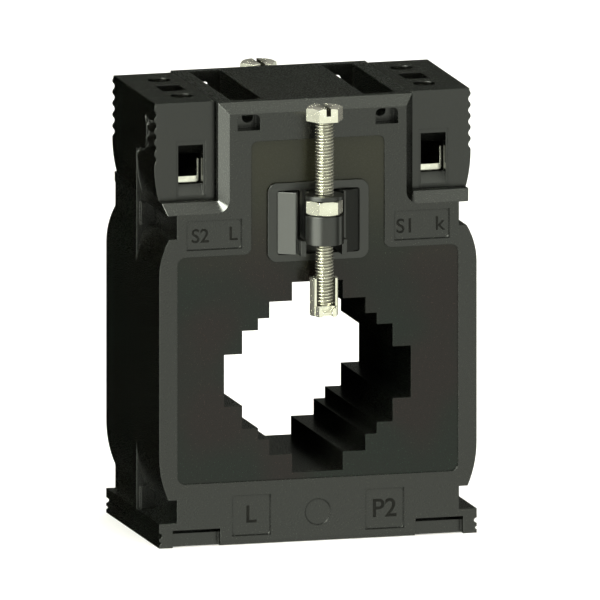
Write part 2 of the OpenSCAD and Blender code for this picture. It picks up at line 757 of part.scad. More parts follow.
module ring(r0, r1, y0, y1) round_window() translate([r0, y0]) square([r1 - r0, y1 - y0]);

module core() color([0.45, 0.46, 0.48]) ring(core_in, core_out, -core_y, core_y);

module core_cap(end) color([0.85, 0.82, 0.7]) mirror([0, end > 0 ? 1 : 0, 0])
    ring(core_in, core_out, -core_y - cap_t, -core_y);

module secondary_winding() color(COPPER) round_window() difference() {
    translate([winding_in, -winding_y]) square([winding_r - winding_in, 2 * winding_y]);
    translate([core_in - seat_gap, -core_y - cap_t - seat_gap])
        square([core_out - core_in + 2 * seat_gap, 2 * (core_y + cap_t + seat_gap)]);
}

module winding_tape() color([0.85, 0.75, 0.4]) ring(winding_r, tape_r, -winding_y, winding_y);

module lead() color(COPPER) difference() {
    translate([terminal_x, 0, window_z]) cylinder(r = lead_r, h = bar_z - window_z);
    slab(-lead_r - cut, lead_r + cut) translate([0, window_z]) circle(tape_r + 0.05, $fn = 128);
}

front_shell();
rear_shell();
at_corner(-1, -1) terminal_block();  // terminal_block_left
at_corner(1, -1) terminal_block();  // terminal_block_right
at_corner(-1, -1) bus_bar();  // bus_bar_left
at_corner(1, -1) bus_bar();  // bus_bar_right
at_corner(-1, -1) wire_saddle();  // wire_saddle_left_front
at_corner(-1, 1) wire_saddle();  // wire_saddle_left_rear
at_corner(1, -1) wire_saddle();  // wire_saddle_right_front
at_corner(1, 1) wire_saddle();  // wire_saddle_right_rear
at_corner(-1, -1) pressure_plate();  // pressure_plate_left_front
at_corner(-1, 1) pressure_plate();  // pressure_plate_left_rear
at_corner(1, -1) pressure_plate();  // pressure_plate_right_front
at_corner(1, 1) pressure_plate();  // pressure_plate_right_rear
at_corner(-1, -1) terminal_screw();  // terminal_screw_left_front
at_corner(-1, 1) terminal_screw();  // terminal_screw_left_rear
at_corner(1, -1) terminal_screw();  // terminal_screw_right_front
at_corner(1, 1) terminal_screw();  // terminal_screw_right_rear
screw_holder();  // screw_holder_front
at_corner(1, 1) screw_holder();  // screw_holder_rear
hex_nut();  // hex_nut_front
at_corner(1, 1) hex_nut();  // hex_nut_rear
fixing_screw();  // fixing_screw_front
at_corner(1, 1) fixing_screw();  // fixing_screw_rear
pressure_shoe();  // pressure_shoe_front
at_corner(1, 1) pressure_shoe();  // pressure_shoe_rear
core();
core_cap(-1);  // core_cap_front
core_cap(1);  // core_cap_rear
secondary_winding();
winding_tape();
at_corner(-1, -1) lead();  // lead_left
at_corner(1, -1) lead();  // lead_right
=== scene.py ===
import math

import bmesh
import bpy
from mathutils import Matrix, Vector


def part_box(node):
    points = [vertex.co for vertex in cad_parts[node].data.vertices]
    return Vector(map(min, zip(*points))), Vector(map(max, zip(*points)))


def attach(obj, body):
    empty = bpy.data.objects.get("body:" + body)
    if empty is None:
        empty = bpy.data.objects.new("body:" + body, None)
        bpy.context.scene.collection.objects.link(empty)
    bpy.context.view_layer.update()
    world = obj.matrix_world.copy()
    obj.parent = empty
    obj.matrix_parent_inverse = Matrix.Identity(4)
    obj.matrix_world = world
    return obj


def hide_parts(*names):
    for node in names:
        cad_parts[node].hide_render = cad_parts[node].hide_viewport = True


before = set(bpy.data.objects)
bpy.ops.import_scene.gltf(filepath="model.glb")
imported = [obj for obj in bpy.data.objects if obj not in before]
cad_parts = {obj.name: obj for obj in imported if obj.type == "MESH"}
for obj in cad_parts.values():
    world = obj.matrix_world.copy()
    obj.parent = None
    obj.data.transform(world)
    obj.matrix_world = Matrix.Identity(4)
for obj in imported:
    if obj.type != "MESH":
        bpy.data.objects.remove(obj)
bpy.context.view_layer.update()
MM = 0.001

# ---- Core, its end rings, the winding and the tape ------------------------------------------
# The ring that steps the current down: a strip of grain-oriented steel wound into a toroid,
# with a moulded ring at each end, enamelled copper wire over it and a wrap of polyester tape.
# It drops into the rear shell.


class Value:
    """A number in a shader; an expression on it adds the Math nodes that work it out."""

    def __init__(self, shader, socket):
        self.shader, self.socket = shader, socket

    def also(self, name):
        """Another output of the same node."""
        return Value(self.shader, self.socket.node.outputs[name])

    def math(self, operation, *values):
        return self.shader.node("ShaderNodeMath", {"operation": operation}, dict(enumerate(values)))

    def __add__(self, other): return self.math("ADD", self, other)
    def __radd__(self, other): return self.math("ADD", other, self)
    def __sub__(self, other): return self.math("SUBTRACT", self, other)
    def __rsub__(self, other): return self.math("SUBTRACT", other, self)
    def __mul__(self, other): return self.math("MULTIPLY", self, other)
    def __rmul__(self, other): return self.math("MULTIPLY", other, self)
    def __truediv__(self, other): return self.math("DIVIDE", self, other)
    def __gt__(self, edge): return self.math("GREATER_THAN", self, edge)
    def __abs__(self): return self.math("ABSOLUTE", self)

    def rise(self, low, high):
        """0 below low, 1 above high and a soft step between them."""
        return self.shader.node("ShaderNodeMapRange", {"interpolation_type": "SMOOTHSTEP"},
                                {"Value": self, "From Min": low, "From Max": high})


class Shader:
    """A node tree that is filled one node at a time."""

    def __init__(self, tree):
        self.tree = tree
        tree.nodes.clear()

    def node(self, kind, settings=None, sockets=None, output=0):
        """Adds one node: its settings first, then the values or links of its sockets."""
        made = self.tree.nodes.new(kind)
        for name, value in (settings or {}).items():
            if name == "stops":
                while len(made.color_ramp.elements) < len(value):
                    made.color_ramp.elements.new(1.0)
                for element, (place, colour) in zip(made.color_ramp.elements, value):
                    element.position, element.color = place, (*colour, 1.0)
            else:
                setattr(made, name, value)
        for name, value in (sockets or {}).items():
            if isinstance(value, Value):
                self.tree.links.new(value.socket, made.inputs[name])
            else:
                made.inputs[name].default_value = value
        return Value(self, made.outputs[output]) if made.outputs else made

    def place(self, squeeze=(1, 1, 1)):
        """The point's place on the object in metres, squeezed along each axis."""
        point = self.node("ShaderNodeTexCoord", output="Object")
        return self.node("ShaderNodeMapping", {}, {"Vector": point, "Scale": squeeze})

    def grain(self, scale, detail=2.0, squeeze=(1, 1, 1), roughness=0.5):
        """Noise from 0 to 1, with so many grains to a metre."""
        return self.node("ShaderNodeTexNoise", {}, {"Vector": self.place(squeeze), "Scale": scale,
                                                   "Detail": detail, "Roughness": roughness})

    def tint(self, share, colour, other):
        """A colour that goes over into another one as share goes from 0 to 1."""
        return self.node("ShaderNodeMix", {"data_type": "RGBA"},
                         {0: share, 6: (*colour, 1.0) if isinstance(colour, tuple) else colour,
                          7: (*other, 1.0) if isinstance(other, tuple) else other}, output=2)

    def relief(self, height, depth, under=None):
        """A bump as deep as depth in metres where height is 1."""
        sockets = {"Height": height, "Distance": depth, "Strength": 1.0}
        if under is not None:
            sockets["Normal"] = under
        return self.node("ShaderNodeBump", {}, sockets)

    def edges(self, radius):
        """The normal with every sharp edge rounded by radius."""
        return self.node("ShaderNodeBevel", {"samples": 6}, {"Radius": radius})


def new_material(name):
    material = bpy.data.materials.new(name)
    material.use_nodes = True
    return material, Shader(material.node_tree)


def coat(shader, sockets):
    """Ends a material with one surface shader."""
    surface = shader.node("ShaderNodeBsdfPrincipled", {}, sockets)
    shader.node("ShaderNodeOutputMaterial", {}, {"Surface": surface})


def paint(material, *nodes):
    """Gives CAD nodes their material."""
    for name in nodes:
        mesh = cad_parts[name].data
        mesh.materials.clear()
        mesh.materials.append(material)


wound_strip, shader = new_material("wound_steel_strip")
point = shader.place()
axes = shader.node("ShaderNodeSeparateXYZ", {}, {"Vector": point})
low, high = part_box("core")
middle = (low + high) / 2
x, z = axes - middle.x, axes.also("Z") - middle.z
radius = x.math("SQRT", x * x + z * z)
layers = x.math("SINE", radius * (2 * math.pi / (0.3 * MM)))
coat(shader, {
    "Base Color": shader.tint(layers * 0.5 + 0.5, (0.10, 0.10, 0.11), (0.34, 0.34, 0.36)),
    "Metallic": 1.0,
    "Roughness": 0.32 + shader.grain(900) * 0.2,
    "Normal": shader.relief(layers, 0.03 * MM),
})
paint(wound_strip, "core")

end_ring, shader = new_material("polyester_end_ring")
coat(shader, {
    "Base Color": shader.tint(shader.grain(260), (0.62, 0.56, 0.42), (0.72, 0.67, 0.53)),
    "Roughness": 0.5 + shader.grain(700) * 0.15,
    "Normal": shader.relief(shader.grain(3000), 0.02 * MM),
})
paint(end_ring, "core_cap_front", "core_cap_rear")

enamelled_wire, shader = new_material("enamelled_copper_wire")
turn = shader.node("ShaderNodeTexWave", {"wave_type": "BANDS", "bands_direction": "Y"},
                   {"Vector": shader.place(), "Scale": 500.0, "Distortion": 0.6, "Detail": 1.0},
                   output="Fac")
coat(shader, {
    "Base Color": shader.tint(turn, (0.30, 0.09, 0.03), (0.62, 0.25, 0.10)),
    "Metallic": 1.0,
    "Roughness": 0.26 + shader.grain(500) * 0.12,
    "Coat Weight": 0.6,
    "Normal": shader.relief(turn, 0.15 * MM),
})
paint(enamelled_wire, "secondary_winding", "lead_left", "lead_right")

amber_tape, shader = new_material("amber_tape")
lap = shader.node("ShaderNodeTexWave", {"wave_type": "BANDS", "bands_direction": "DIAGONAL",
                                        "wave_profile": "SAW"},
                  {"Vector": shader.place(), "Scale": 60.0, "Distortion": 0.8}, output="Fac")
coat(shader, {
    "Base Color": shader.tint(lap, (0.55, 0.33, 0.06), (0.74, 0.51, 0.14)),
    "Roughness": 0.24 + shader.grain(350) * 0.2,
    "Normal": shader.relief(lap, 0.06 * MM),
})
paint(amber_tape, "winding_tape")

# ---- Rear and front shell ------------------------------------------------------------------
# Both shells are moulded in black glass-filled polyamide and close over the core at a joint in
# front of the middle. The frames round the faces come from a polished mould, while the recessed
# panels have the finer, duller grain of a spark-eroded one.

PANEL_FRONT, PANEL_BACK = 21.2 * MM, 20.9 * MM     # the panels' faces lie between these
FIELDS = [(22.9, 67.4, 12.0, 6.2), (14.7, 6.3, 8.3, 8.6)]   # middle and size of the marking fields
DISC_Z, DISC_R = 6.3 * MM, 2.8 * MM                # height and radius of the bare round recess
WIRE_SPACE_TOP = 85.1 * MM


def moulded_black(name, satin, shine=0.5):
    """Black plastic from the mould: satin on the frames, warmer and duller on the panels,
    with painted shade, a matte near-black, along the edges of each marking field and of the
    round recess, heaviest at the fields' right and bottom edges, and deep inside the wire spaces."""
    material, shader = new_material(name)
    point = shader.node("ShaderNodeSeparateXYZ", {}, {"Vector": shader.place()})
    x, y, z = abs(point), abs(point.also("Y")), point.also("Z")
    quarter = point * point.also("Y")
    sideways = quarter.math("SIGN", quarter) * -1
    facing = abs(shader.node("ShaderNodeSeparateXYZ", {}, {
        "Vector": shader.node("ShaderNodeTexCoord", output="Normal")}, output="Y"))
    recessed = (facing > 0.95) * (y > PANEL_BACK) * (1 - (y > PANEL_FRONT))
    # Painted shade: a dark line round the bare round recess and round each marking field, stronger
    # on the fields' right and bottom edges, on the faces only.
    rim = abs(x.math("SQRT", x * x + (z - DISC_Z) * (z - DISC_Z)) - DISC_R)
    edge_shade = (1 - rim.rise(0.05 * MM, 0.2 * MM)) * 0.5
    for middle_x, middle_z, width, height in FIELDS:
        across, rise = (x - middle_x * MM) * sideways, z - middle_z * MM
        out = x.math("MAXIMUM", abs(across) - width / 2 * MM, abs(rise) - height / 2 * MM)
        shaded = x.math("MAXIMUM", across > width * 0.48 * MM, rise * -1 > height * 0.47 * MM)
        edge_shade = x.math("MAXIMUM", edge_shade, (1 - abs(out).rise(0.05 * MM, 0.22 * MM))
                      * (shaded * 0.6 + 0.15))
    edge_shade = edge_shade * (facing > 0.95) * (y > PANEL_FRONT)
    # Painted shade: deep inside each wire space, round the saddle, the plastic turns matte
    # near-black.
    low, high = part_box("wire_saddle_right_front")
    hollow_shade = ((x > low.x - 0.3 * MM) * (1 - (x > high.x + 0.3 * MM)) * (z > low.z - 0.1 * MM)
              * (1 - (z > WIRE_SPACE_TOP)) * (1 - (y > -low.y + 1.2 * MM)))
    flow = shader.grain(48, detail=1.0).rise(0.38, 0.62)
    speckle = shader.grain(5200, detail=3.0, roughness=0.6)
    skin = shader.relief(speckle, 0.005 * MM, shader.edges(0.2 * MM))
    frames = shader.node("ShaderNodeBsdfPrincipled", {}, {
        "Base Color": shader.tint(flow, (0.0005, 0.0007, 0.0004), (0.0007, 0.0007, 0.0004)),
        "Roughness": satin + (speckle - 0.5) * 0.08,
        "Specular IOR Level": shine, "Normal": skin})
    low_panel = shader.tint(flow, (0.0046, 0.0022, 0.0020), (0.0014, 0.0036, 0.0022))
    panels = shader.node("ShaderNodeBsdfPrincipled", {}, {
        "Base Color": shader.tint(z.rise(54 * MM, 84 * MM), low_panel, (0.0165, 0.0165, 0.0095)),
        "Roughness": satin + (speckle - 0.5) * 0.08,
        "Specular IOR Level": 0.12, "Coat Weight": 0.27, "Coat Roughness": 0.1, "Normal": skin})
    # Painted shade: a matte near-black that takes over wherever a painted shade mask is set.
    painted_shade = shader.node("ShaderNodeBsdfPrincipled", {}, {
        "Base Color": (0.001, 0.001, 0.0008, 1.0), "Roughness": 0.8 + speckle * 0.1,
        "Specular IOR Level": 0.02, "Normal": skin})
    faces = shader.node("ShaderNodeMixShader", {}, {0: recessed, 1: frames, 2: panels})
    surface = shader.node("ShaderNodeMixShader", {}, {
        0: x.math("MAXIMUM", hollow_shade, edge_shade), 1: faces, 2: painted_shade})
    shader.node("ShaderNodeOutputMaterial", {}, {"Surface": surface})
    return material


case_plastic = moulded_black("moulded_black_case", 0.27)
paint(case_plastic, "front_shell", "rear_shell")

# ---- Terminal blocks -----------------------------------------------------------------------
# The two blocks are moulded in the same black polyamide, with waves down their outer side for
# the fingers, and snap onto the ledges beside the tower.

block_plastic = moulded_black("moulded_black_block", 0.26)
paint(block_plastic, "terminal_block_left", "terminal_block_right")

# ---- Bus bars, wire saddles, pressure plates and terminal screws -----------------------------
# Inside each block a brass bar carries the tapped holes. A slotted M3 cheese-head screw pushes
# a small plate onto the wire, which lies in a saddle bent from zinc-plated steel sheet.

drawn_brass, shader = new_material("drawn_brass")
draw = shader.grain(900, squeeze=(1, 0.05, 1))
coat(shader, {
    "Base Color": shader.tint(draw, (0.66, 0.46, 0.18), (0.80, 0.60, 0.28)),
    "Metallic": 1.0,
    "Roughness": 0.25 + draw * 0.2,
    "Normal": shader.relief(draw, 0.01 * MM),
})
paint(drawn_brass, "bus_bar_left", "bus_bar_right")


def zinc_plated(name, colour, dull, roughness, metallic=0.9, thread=None):
    """Zinc plate: a bright, faintly cloudy metal. Given a thread's (distance from the middle,
    root and crest radius, slot floor), its grooves and the slot over it get painted shade, a dark
    base colour."""
    material, shader = new_material(name)
    cloud = shader.grain(380, detail=2.0)
    fine = shader.grain(6500, detail=2.0)
    plate = shader.tint(cloud.rise(0.35, 0.7), colour, dull)
    if thread:
        away, root, crest, floor = thread
        point = shader.node("ShaderNodeSeparateXYZ", {}, {"Vector": shader.place()})
        x, y, z = point, abs(point.also("Y")) - away, point.also("Z")
        # Painted shade: the base colour turns dark in the thread's grooves and down the head's slot.
        groove_shade = 1 - x.math("SQRT", x * x + y * y).rise(root, crest)
        slot_shade = x.math("GREATER_THAN", 0.51 * MM, abs(x)) * (z > floor)
        plate = shader.tint(x.math("MAXIMUM", groove_shade * 0.62, slot_shade), plate, (0.10, 0.095, 0.065))
    coat(shader, {
        "Base Color": plate,
        "Metallic": metallic,
        "Roughness": roughness + (cloud - 0.5) * 0.06,
        "Normal": shader.relief(fine, 0.001 * MM, shader.edges(0.05 * MM)),
    })
    return material


low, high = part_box("fixing_screw_rear")
SCREW_AWAY, SCREW_TOP = (low.y + high.y) / 2, high.z
THREAD_ROOT, THREAD_CREST, SLOT_DEPTH = 1.62 * MM, 1.92 * MM, 1.62 * MM
zinc = zinc_plated("zinc_plated_steel", (0.58, 0.57, 0.49), (0.52, 0.51, 0.43), 0.26, 0.76)
# The screws' zinc carries painted shade in its thread grooves and head slot.
zinc_groove_shaded = zinc_plated("zinc_plated_screw_groove_shade", (0.60, 0.59, 0.51), (0.54, 0.53, 0.45), 0.24, 0.76,
                          thread=(SCREW_AWAY, THREAD_ROOT, THREAD_CREST, SCREW_TOP - SLOT_DEPTH))
zinc_inside = zinc_plated("zinc_plated_sheet", (0.62, 0.61, 0.55), (0.50, 0.49, 0.44), 0.2, 1.0)


def show(shapes, name, material, body, slot, *nodes):
    """Makes one piece of closed shapes, which stands for CAD nodes and rides on their body."""
    whole = bmesh.new()
    for shape in shapes:
        part = bpy.data.meshes.new("part")
        shape.to_mesh(part)
        shape.free()
        whole.from_mesh(part)
        bpy.data.meshes.remove(part)
    mesh = bpy.data.meshes.new(name)
    whole.to_mesh(mesh)
    whole.free()
    mesh.shade_smooth()
    mesh.set_sharp_from_angle(angle=math.radians(28))
    mesh.materials.append(material)
    piece = bpy.data.objects.new(name, mesh)
    bpy.context.scene.collection.objects.link(piece)
    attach(piece, body)
    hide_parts(*nodes)


def seal(shape):
    """Merges doubles and turns every face of a closed shape outwards."""
    bmesh.ops.remove_doubles(shape, verts=shape.verts, dist=0.001 * MM)
    bmesh.ops.recalc_face_normals(shape, faces=shape.faces)
    return shape


def move(shape, x, y, z):
    bmesh.ops.translate(shape, verts=shape.verts, vec=(x, y, z))
    return shape


def cap(shape, z):
    """Closes the open loop that lies at height z."""
    rim = [e for e in shape.edges
           if e.is_boundary and all(abs(v.co.z - z) < 0.002 * MM for v in e.verts)]
    bmesh.ops.edgeloop_fill(shape, edges=rim)


def turned(outline, sides=48):
    """Turns an outline of (radius, height) round Z; it starts and ends on the axis."""
    shape = bmesh.new()
    points = [shape.verts.new((r, 0, z)) for r, z in outline]
    lines = [shape.edges.new(pair) for pair in zip(points, points[1:])]
    bmesh.ops.spin(shape, geom=points + lines, cent=(0, 0, 0), axis=(0, 0, 1),
                   angle=2 * math.pi, steps=sides, use_merge=True)
    return seal(shape)


def threaded(radius, pitch, low, high, sides=28):
    """A 60 degree thread from its chamfered tip at low up to high."""
    shape = bmesh.new()
    root = radius - 0.61 * pitch
    start = low - 1.5 * pitch
    turns = math.ceil((high - start) / pitch) + 1
    points = [shape.verts.new((r, 0, start + share * pitch))
              for r, share in [(root, 0), (root, 0.12), (radius, 0.43), (radius, 0.55),
                               (root, 0.86), (root, 1)]]
    lines = [shape.edges.new(pair) for pair in zip(points, points[1:])]
    bmesh.ops.spin(shape, geom=points + lines, cent=(0, 0, 0), axis=(0, 0, 1),
                   dvec=(0, 0, pitch / sides), angle=2 * math.pi * turns, steps=sides * turns)
    bmesh.ops.remove_doubles(shape, verts=shape.verts, dist=0.002 * MM)
    for z, up in [(low, -1), (high, 1)]:
        bmesh.ops.bisect_plane(shape, geom=shape.verts[:] + shape.edges[:] + shape.faces[:],
                               plane_co=(0, 0, z), plane_no=(0, 0, up), clear_outer=True,
                               dist=0.0005 * MM)
        cap(shape, z)
    for v in shape.verts:
        across = v.co.xy.length
        most = root - 0.12 * MM + (v.co.z - low)
        if across > most:
            v.co.xy *= most / across
    bmesh.ops.recalc_face_normals(shape, faces=shape.faces)
    return shape


def cut_slot(shape, half_width, floor):
    """Cuts a screwdriver slot along Y through the top of a closed shape, down to floor."""
    for co, no in [((half_width, 0, 0), (1, 0, 0)), ((-half_width, 0, 0), (1, 0, 0)),
                   ((0, 0, floor), (0, 0, 1))]:
        bmesh.ops.bisect_plane(shape, geom=shape.verts[:] + shape.edges[:] + shape.faces[:],
                               plane_co=co, plane_no=no, dist=0.0005 * MM)
    lost = [f for f in shape.faces
            if abs(f.calc_center_median().x) < half_width and f.calc_center_median().z > floor]
    bmesh.ops.delete(shape, geom=lost, context="FACES")
    near = 0.001 * MM
    for side in (-1, 1):
        wall = [e for e in shape.edges if e.is_boundary
                and all(abs(v.co.x - side * half_width) < near for v in e.verts)]
        feet = sorted({v for e in wall for v in e.verts if abs(v.co.z - floor) < near},
                      key=lambda v: v.co.y)
        foot = shape.edges.new((feet[0], feet[-1]))
        bmesh.ops.contextual_create(shape, geom=wall + [foot])
    rest = [e for e in shape.edges if e.is_boundary]
    bmesh.ops.edgeloop_fill(shape, edges=rest)
    bmesh.ops.recalc_face_normals(shape, faces=shape.faces)
    return shape


for side in ("left", "right"):
    for end in ("front", "rear"):
        corner = f"{side}_{end}"
        low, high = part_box(f"terminal_screw_{corner}")
        axis = (low + high) / 2
        neck_r, thread_r, head_r = 0.8 * MM, 1.5 * MM, (high.x - low.x) / 2
        head_h, neck_top = 2.0 * MM, low.z + 0.95 * MM
        under = high.z - head_h
        head = turned([(0, under - 0.3 * MM), (thread_r * 0.9, under - 0.3 * MM),
                       (thread_r * 0.9, under), (head_r - 0.12 * MM, under),
                       (head_r, under + 0.12 * MM), (head_r, high.z - 0.3 * MM),
                       (head_r - 0.1 * MM, high.z - 0.1 * MM), (head_r - 0.3 * MM, high.z),
                       (0, high.z)])
        cut_slot(head, 0.4 * MM, high.z - 0.9 * MM)
        neck = turned([(0, low.z), (neck_r - 0.15 * MM, low.z), (neck_r, low.z + 0.15 * MM),
                       (neck_r, neck_top + 0.3 * MM), (0, neck_top + 0.3 * MM)], sides=32)
        thread = threaded(thread_r, 0.5 * MM, neck_top, under - 0.02 * MM)
        show([move(s, axis.x, axis.y, 0) for s in (head, neck, thread)],
             f"cheese_head_screw_{corner}", zinc, f"terminal_screw_{corner}", "steel",
             f"terminal_screw_{corner}")

        low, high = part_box(f"wire_saddle_{corner}")
        sheet, floor = 0.4 * MM, 1.4 * MM
        saddle = bmesh.new()
        rim = [saddle.verts.new((x, low.y, z)) for x, z in [
            (low.x, low.z), (high.x, low.z), (high.x, high.z), (high.x - sheet, high.z),
            (high.x - sheet, low.z + floor), (low.x + sheet, low.z + floor),
            (low.x + sheet, high.z), (low.x, high.z)]]
        saddle.faces.new(rim)
        bmesh.ops.bevel(saddle, geom=[rim[0], rim[1]], offset=0.9 * MM, affect="VERTICES",
                        segments=5, profile=0.5, material=-1)
        inner = [v for v in saddle.verts if abs(v.co.z - low.z - floor) < 0.001 * MM]
        bmesh.ops.bevel(saddle, geom=inner, offset=0.35 * MM, affect="VERTICES",
                        segments=3, profile=0.5, material=-1)
        pushed = bmesh.ops.extrude_face_region(saddle, geom=saddle.faces[:])
        bmesh.ops.translate(saddle, vec=(0, high.y - low.y, 0),
                            verts=[v for v in pushed["geom"] if isinstance(v, bmesh.types.BMVert)])
        show([seal(saddle)], f"bent_saddle_{corner}", zinc_inside, "housing", "steel",
             f"wire_saddle_{corner}")
        paint(zinc_inside, f"pressure_plate_{corner}")

# ---- Screw holders ---------------------------------------------------------------------------
# A moulded frame clips into each face and carries the fixing screw in a barrel that stands
# between two cheeks, with a slot for the nut.

holder_plastic = moulded_black("moulded_black_holder", 0.30, 0.58)
paint(holder_plastic, "screw_holder_front", "screw_holder_rear")

# ---- Nuts and fixing screws --------------------------------------------------------------------
# Slotted M4 hexagon screws, 40 mm long, with the nut that each one turns in. Both are cold
# formed, chamfered and zinc plated. They clamp the current transformer onto its bus bar.

HEX_FLATS = 7.0 * MM
SCREW_R = 2.0 * MM


def hexagonal(layers, bore=None):
    """A hexagon in layers of (height, widest radius), solid or round a plain bore with chamfered
    ends.
    """
    shape = bmesh.new()
    sides = 72

    def ring(z, limit, hexagon):
        made = bmesh.ops.create_circle(shape, segments=sides, radius=1.0)["verts"]
        for v in made:
            turn = math.atan2(v.co.y, v.co.x)
            reach = limit
            if hexagon:
                off = (turn % (math.pi / 3)) - math.pi / 6
                reach = min(limit, HEX_FLATS / 2 / math.cos(off))
            v.co = Vector((math.cos(turn) * reach, math.sin(turn) * reach, z))
        return [e for e in shape.edges if all(v in made for v in e.verts)]

    rings = [ring(z, limit, True) for z, limit in layers]
    if bore:
        first, last = layers[0][0], layers[-1][0]
        for z, r in [(last, bore + 0.35 * MM), (last - 0.35 * MM, bore),
                     (first + 0.35 * MM, bore), (first, bore + 0.35 * MM)]:
            rings.append(ring(z, r, False))
    for one, other in zip(rings, rings[1:] + (rings[:1] if bore else [])):
        bmesh.ops.bridge_loops(shape, edges=one + other)
    if not bore:
        cap(shape, layers[0][0])
        cap(shape, layers[-1][0])
    return seal(shape)


for end in ("front", "rear"):
    low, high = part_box(f"fixing_screw_{end}")
    axis = (low + high) / 2
    under = high.z - 3.0 * MM
    chamfer = [(high.z - drop * MM, HEX_FLATS / 2 + (2.0 * drop - 0.1) * MM)
               for drop in (0.4, 0.32, 0.24, 0.16, 0.08, 0)]
    head = hexagonal([(under, HEX_FLATS)] + chamfer)
    cut_slot(head, 0.5 * MM, high.z - 1.6 * MM)
    thread = threaded(SCREW_R, 0.7 * MM, low.z, under + 0.1 * MM)
    show([move(s, axis.x, axis.y, 0) for s in (head, thread)], f"hexagon_screw_{end}", zinc_groove_shaded,
         f"fixing_screw_{end}", "steel", f"fixing_screw_{end}")

    low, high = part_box(f"hex_nut_{end}")
    up = [(high.z - drop * MM, HEX_FLATS / 2 + (2.0 * drop - 0.1) * MM)
          for drop in (0.36, 0.24, 0.12, 0)]
    down = [(low.z + drop * MM, HEX_FLATS / 2 + (2.0 * drop - 0.1) * MM)
            for drop in (0, 0.12, 0.24, 0.36)]
    nut = hexagonal(down + up, bore=SCREW_R + 0.03 * MM)
    show([move(nut, axis.x, axis.y, 0)], f"chamfered_nut_{end}", zinc, "housing", "steel",
         f"hex_nut_{end}")

# ---- Pressure shoes --------------------------------------------------------------------------
# The small steel shoe on each screw's tip turns freely on it and presses on the bus bar. It is
# a channel bent round the thread, open in front, with a notched apron over its closed end.


def bar(outline, direction, length):
    """A closed bar: a flat outline of points in metres, drawn out along a direction."""
    shape = bmesh.new()
    shape.faces.new([shape.verts.new(point) for point in outline])
    pushed = bmesh.ops.extrude_face_region(shape, geom=shape.faces[:])
    bmesh.ops.translate(shape, vec=Vector(direction) * length,
                        verts=[v for v in pushed["geom"] if isinstance(v, bmesh.types.BMVert)])
    return seal(shape)


bore = [(2.06 * math.cos(math.radians(turn)), 2.06 * math.sin(math.radians(turn)))
        for turn in range(180, -1, -15)]
jacket = [(2.5, -1.3), (2.95, -0.2), (2.95, 1.25), (1.25, 2.9),
          (-1.25, 2.9), (-2.95, 1.25), (-2.95, -0.2), (-2.5, -1.3)]
channel = [(-2.06, -1.3)] + bore + [(2.06, -1.3)] + jacket
plug = [(-2.1, -1.25)] + [(x * 1.03, y * 1.03) for x, y in bore] + [(2.1, -1.25)]
apron = [(-2.95, 0), (-1.15, 0), (-1.15, 0.7), (1.15, 0.7), (1.15, 0), (2.95, 0),
         (2.95, 2.15), (1.9, 2.15), (0.8, 0.95), (-0.8, 0.95), (-1.9, 2.15), (-2.95, 2.15)]

for end, outward in [("front", 1), ("rear", -1)]:
    low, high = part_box(f"pressure_shoe_{end}")
    screw_low, screw_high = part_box(f"fixing_screw_{end}")
    axis = (screw_low + screw_high) / 2
    jaw = bar([(x * MM, -2.85 * outward * MM, z * MM) for x, z in apron], (0, outward, 0),
              2.15 * MM)
    for side in (-1, 1):
        bmesh.ops.bisect_plane(jaw, geom=jaw.verts[:] + jaw.edges[:] + jaw.faces[:],
                               plane_co=(1.9 * side * MM, -2.85 * outward * MM, 0),
                               plane_no=(2.15 * side, -0.7 * outward, 0), clear_outer=True)
        bmesh.ops.edgeloop_fill(jaw, edges=[e for e in jaw.edges if e.is_boundary])
    shapes = [bar([(x * MM, y * outward * MM, 0) for x, y in channel], (0, 0, 1), high.z - low.z),
              bar([(x * MM, y * outward * MM, 0) for x, y in plug], (0, 0, 1), 2.1 * MM),
              seal(jaw)]
    show([move(shape, axis.x, axis.y, low.z) for shape in shapes], f"open_shoe_{end}", zinc,
         f"pressure_shoe_{end}", "steel", f"pressure_shoe_{end}")

# ---- Terminal marks ----------------------------------------------------------------------------
# Plain terminal letters stand in the marking fields of both faces, moulded with the shell.

mark_black, shader = new_material("mark_black")
coat(shader, {
    "Base Color": shader.tint(shader.grain(2500), (0.0035, 0.0035, 0.003), (0.006, 0.006, 0.005)),
    "Roughness": 0.5 + shader.grain(4000) * 0.15,
    "Specular IOR Level": 0.12,
    "Normal": shader.relief(shader.grain(5200), 0.004 * MM),
})

CASE_FACE, MARK_INSET = 21.5 * MM, 0.2 * MM
MARKS = [("S2", -25.95, 67.15, 3.0), ("L", -18.7, 67.35, 3.0), ("S1", 19.3, 67.1, 3.1),
         ("k", 26.85, 67.35, 3.1), ("L", -14.8, 6.3, 3.75), ("P2", 14.65, 6.2, 4.0)]

for side, turn in [("front", 0), ("rear", math.pi)]:
    for number, (letters, x, z, height) in enumerate(MARKS):
        text = bpy.data.curves.new("text", "FONT")
        text.body = letters
        text.size = height * MM * 1.4
        text.offset = 0.012 * text.size
        text.extrude = 0.05 * MM
        text.align_x, text.align_y = "CENTER", "CENTER"
        text.resolution_u = 6
        holder = bpy.data.objects.new("text", text)
        bpy.context.scene.collection.objects.link(holder)
        bpy.context.view_layer.update()
        graph = bpy.context.evaluated_depsgraph_get()
        mesh = bpy.data.meshes.new_from_object(holder.evaluated_get(graph))
        bpy.data.objects.remove(holder)
        face = -CASE_FACE + MARK_INSET
        mesh.transform(Matrix.Rotation(turn, 4, "Z") @ Matrix.Translation((x * MM, face, z * MM))
                       @ Matrix.Rotation(math.pi / 2, 4, "X"))
        mesh.materials.clear()
        mesh.materials.append(mark_black)
        name = f"mark_{side}_{number}"
        mesh.name = name
        mark = bpy.data.objects.new(name, mesh)
        bpy.context.scene.collection.objects.link(mark)
        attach(mark, "housing")

# ---- Studio ------------------------------------------------------------------------------------
# A pale floor under soft light: a key to the left, a large box overhead and a fill in front.
# Metal and gloss reflect the soft boxes of the world instead, which light nothing else.

